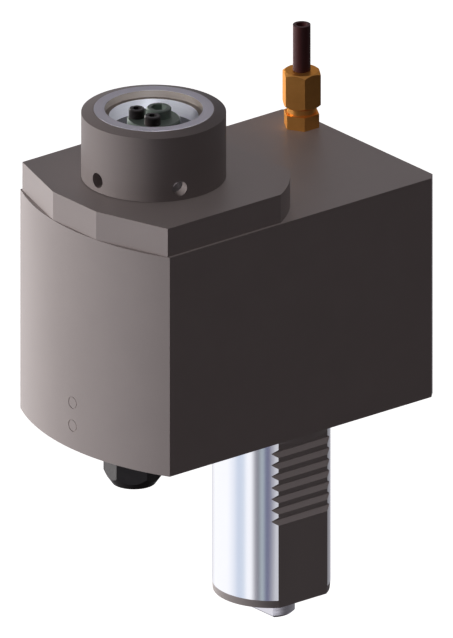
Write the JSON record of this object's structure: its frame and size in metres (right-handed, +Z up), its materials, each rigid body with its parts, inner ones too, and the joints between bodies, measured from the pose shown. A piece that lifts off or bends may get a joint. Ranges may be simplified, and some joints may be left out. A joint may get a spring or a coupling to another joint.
{
  "type": "driven tool holder",
  "caption": "Driven tool holder for a lathe turret: toothed cylindrical shank, gear housing and an offset parallel tool spindle with coolant connection.",
  "frame": {"origin": "on the shank's axis at the housing's seat face, where the shank enters the turret", "axes": "+Z up out of the housing along the shank and spindle axes, -Y towards the curved front, +X towards the side that the shank's teeth face"},
  "size_m": [0.0798, 0.1265, 0.1969],
  "materials": {
    "burnished_housing": "satin burnished steel, warm dark grey",
    "burnished_collar": "satin burnished steel, turned",
    "ground_shank": "ground and polished round, dark flat and teeth",
    "ground_steel": "ground",
    "gear_steel": "case-hardened and ground",
    "bearing_steel": "polished",
    "black_steel": "black oxide",
    "black_plug": "black oxide",
    "brass": "machined",
    "hose_pipe": "dark red-brown, nearly black",
    "seal_rubber": "matt",
    "clamp_green": "grey-green, phosphated"
  },
  "bodies": {
    "holder": {"housing": "burnished_housing", "cover": "burnished_housing", "shank": "ground_shank", "shank_seal": "seal_rubber", "shank_retaining_ring": "black_steel", "flange_screws": "black_steel", "cover_screws": "black_steel", "cover_dowels": "ground_steel", "oil_plug": "black_plug", "front_plugs": "burnished_housing", "connector_body": "brass", "connector_nut": "brass", "coolant_pipe": "hose_pipe", "coolant_face_seal": "seal_rubber", "spindle_retaining_ring": "black_steel", "spindle_seal": "seal_rubber", "shank_bearing_outer_race": "bearing_steel", "middle_bearing_outer_race": "bearing_steel", "top_bearing_outer_race": "bearing_steel", "foot_bearing_outer_race": "bearing_steel", "inner_spindle_bearing_outer_race": "bearing_steel", "outer_spindle_bearing_outer_race": "bearing_steel"},
    "drive": {"drive_shaft": "ground_steel", "drive_gear": "gear_steel", "drive_gear_key": "gear_steel", "drive_gear_ring": "black_steel", "shank_bearing_inner_race": "bearing_steel", "middle_bearing_inner_race": "bearing_steel", "top_bearing_inner_race": "bearing_steel"},
    "spindle": {"tool_spindle": "ground_steel", "nose_collar": "burnished_collar", "spindle_gear": "gear_steel", "spindle_gear_key": "gear_steel", "spindle_gear_ring": "black_steel", "spindle_lock_nut": "black_steel", "foot_bearing_inner_race": "bearing_steel", "inner_spindle_bearing_inner_race": "bearing_steel", "outer_spindle_bearing_inner_race": "bearing_steel", "clamp_disc": "clamp_green", "clamp_bolt": "clamp_green", "clamp_screws": "black_steel"},
    "shank_bearing_cage": {"shank_bearing_balls": "bearing_steel"},
    "middle_bearing_cage": {"middle_bearing_balls": "bearing_steel"},
    "top_bearing_cage": {"top_bearing_balls": "bearing_steel"},
    "foot_bearing_cage": {"foot_bearing_balls": "bearing_steel"},
    "inner_spindle_bearing_cage": {"inner_spindle_bearing_balls": "bearing_steel"},
    "outer_spindle_bearing_cage": {"outer_spindle_bearing_balls": "bearing_steel"}
  },
  "joints": [
    {"name": "drive_spin", "type": "hinge", "parent": "holder", "child": "drive", "pos_m": [0, 0, 0], "axis": [0, 0, 1], "continuous": true},
    {"name": "spindle_spin", "type": "hinge", "parent": "holder", "child": "spindle", "pos_m": [0, -0.051, 0], "axis": [0, 0, 1], "continuous": true},
    {"name": "shank_bearing_cage_spin", "type": "hinge", "parent": "holder", "child": "shank_bearing_cage", "pos_m": [0, 0, 0], "axis": [0, 0, 1], "continuous": true},
    {"name": "middle_bearing_cage_spin", "type": "hinge", "parent": "holder", "child": "middle_bearing_cage", "pos_m": [0, 0, 0], "axis": [0, 0, 1], "continuous": true},
    {"name": "top_bearing_cage_spin", "type": "hinge", "parent": "holder", "child": "top_bearing_cage", "pos_m": [0, 0, 0], "axis": [0, 0, 1], "continuous": true},
    {"name": "foot_bearing_cage_spin", "type": "hinge", "parent": "holder", "child": "foot_bearing_cage", "pos_m": [0, -0.051, 0], "axis": [0, 0, 1], "continuous": true},
    {"name": "inner_spindle_bearing_cage_spin", "type": "hinge", "parent": "holder", "child": "inner_spindle_bearing_cage", "pos_m": [0, -0.051, 0], "axis": [0, 0, 1], "continuous": true},
    {"name": "outer_spindle_bearing_cage_spin", "type": "hinge", "parent": "holder", "child": "outer_spindle_bearing_cage", "pos_m": [0, -0.051, 0], "axis": [0, 0, 1], "continuous": true}
  ],
  "couplings": [
    {"joint": "spindle_spin", "follows": "drive_spin", "ratio": -1},
    {"joint": "shank_bearing_cage_spin", "follows": "drive_spin", "ratio": 0.4253},
    {"joint": "middle_bearing_cage_spin", "follows": "drive_spin", "ratio": 0.4042},
    {"joint": "top_bearing_cage_spin", "follows": "drive_spin", "ratio": 0.4042},
    {"joint": "foot_bearing_cage_spin", "follows": "drive_spin", "ratio": -0.4065},
    {"joint": "inner_spindle_bearing_cage_spin", "follows": "drive_spin", "ratio": -0.4206},
    {"joint": "outer_spindle_bearing_cage_spin", "follows": "drive_spin", "ratio": -0.4206}
  ]
}
